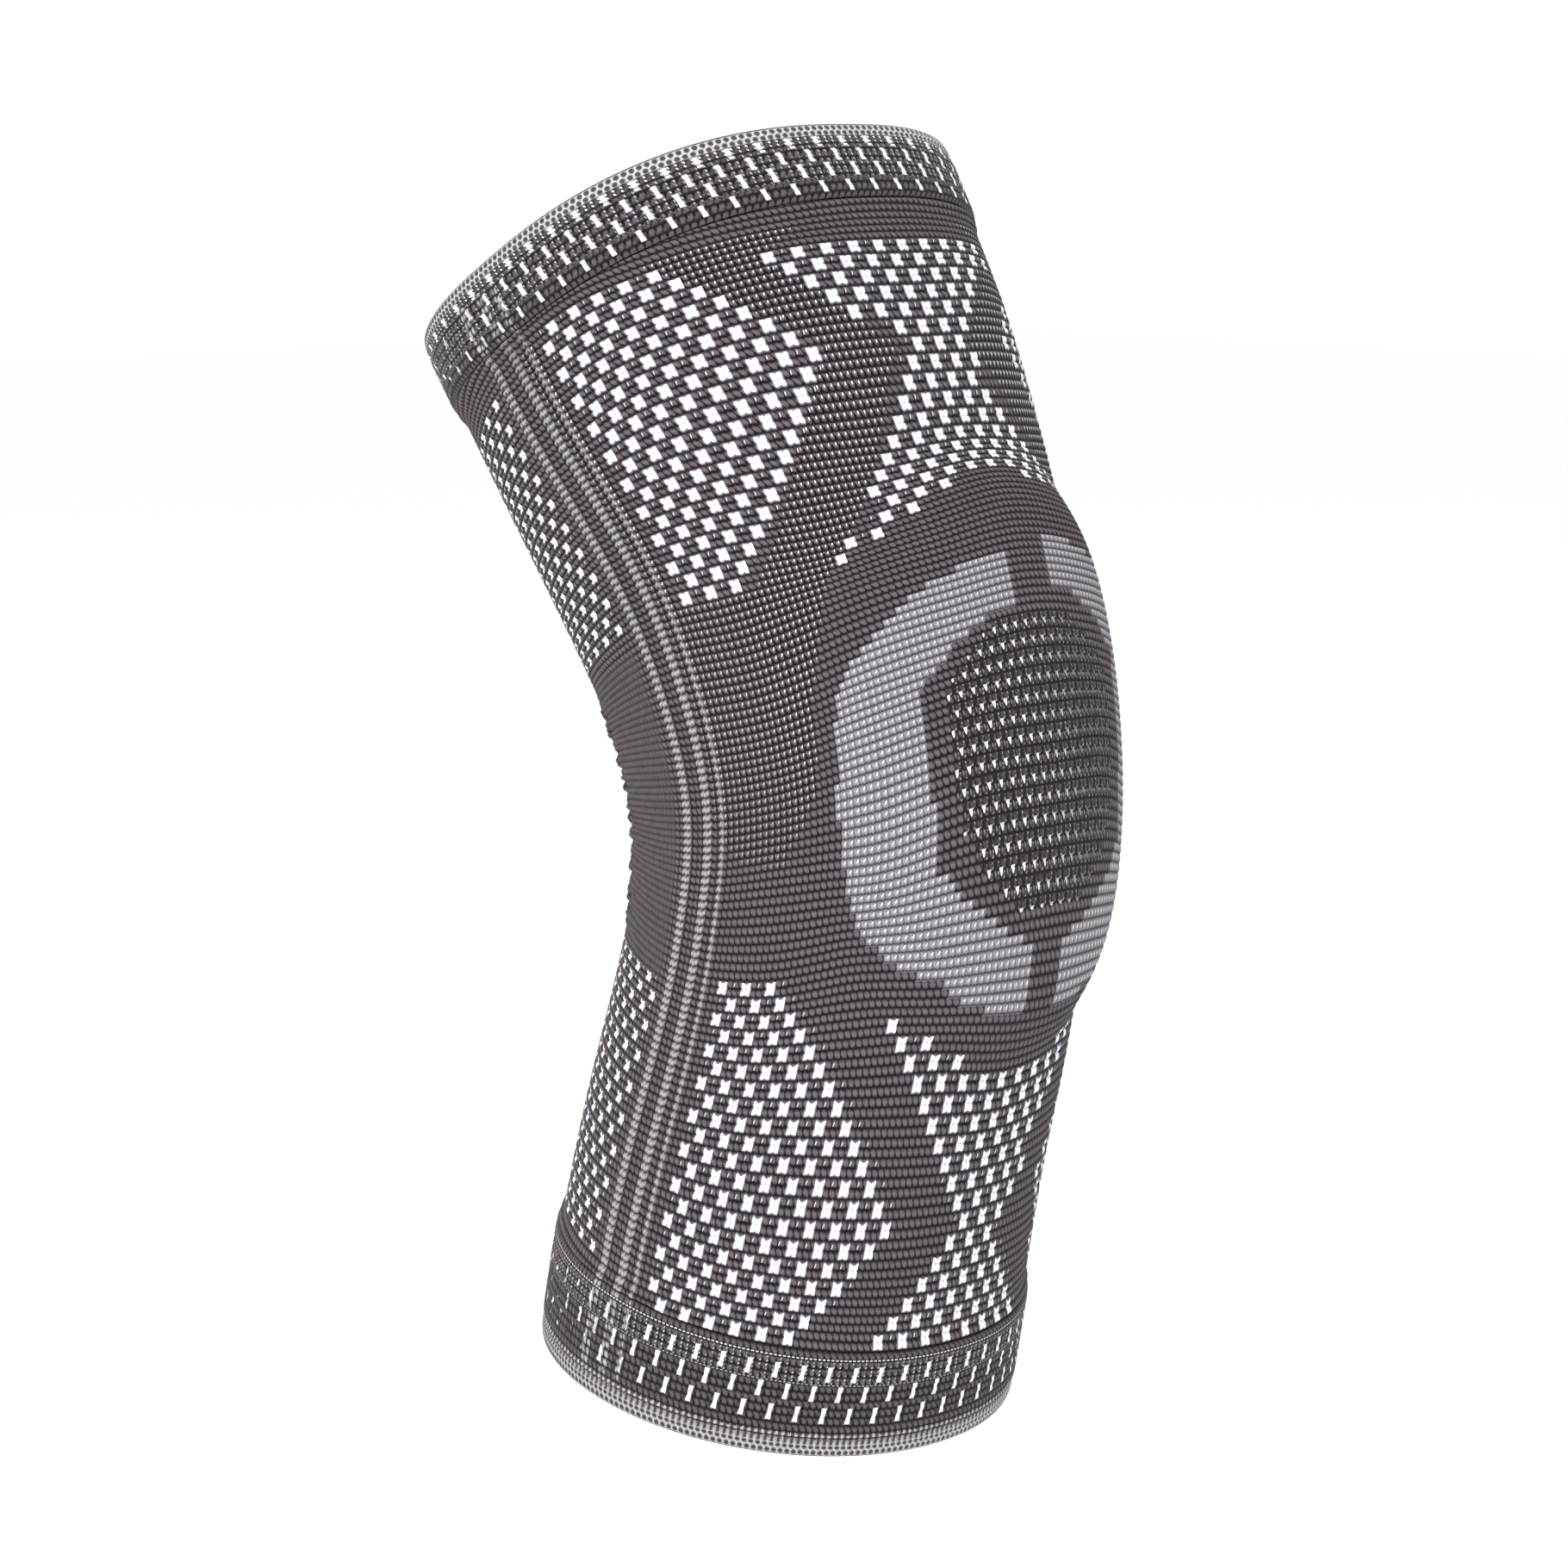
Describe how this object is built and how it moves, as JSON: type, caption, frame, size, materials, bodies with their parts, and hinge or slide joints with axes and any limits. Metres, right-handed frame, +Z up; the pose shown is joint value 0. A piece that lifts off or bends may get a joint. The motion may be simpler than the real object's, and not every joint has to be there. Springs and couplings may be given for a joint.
{
  "type": "knee sleeve",
  "caption": "Knitted knee sleeve, open at both ends, in the bent shape it has when worn, with side ribs, folded hems, light edges and a kneecap ring.",
  "frame": {"origin": "in the hollow, on the leg's axis, halfway round the bend of the knee, where the knee sits", "axes": "+Z up along the standing leg, the kneecap faces -Y, +X across the knee, and the sleeve is alike on both sides of X = 0"},
  "size_m": [0.1202, 0.1695, 0.2969],
  "materials": {
    "knit": "matte charcoal elastic knit with white checks and light grey panels",
    "welt": "matte charcoal knit band with short white dashes",
    "edging": "light grey elastic edge",
    "cushion": "soft satin cushion ring"
  },
  "bodies": {
    "root": {"knit_sleeve": "knit", "upper_welt": "welt", "lower_welt": "welt", "upper_edging": "edging", "lower_edging": "edging", "kneecap_ring": "cushion"}
  },
  "joints": []
}
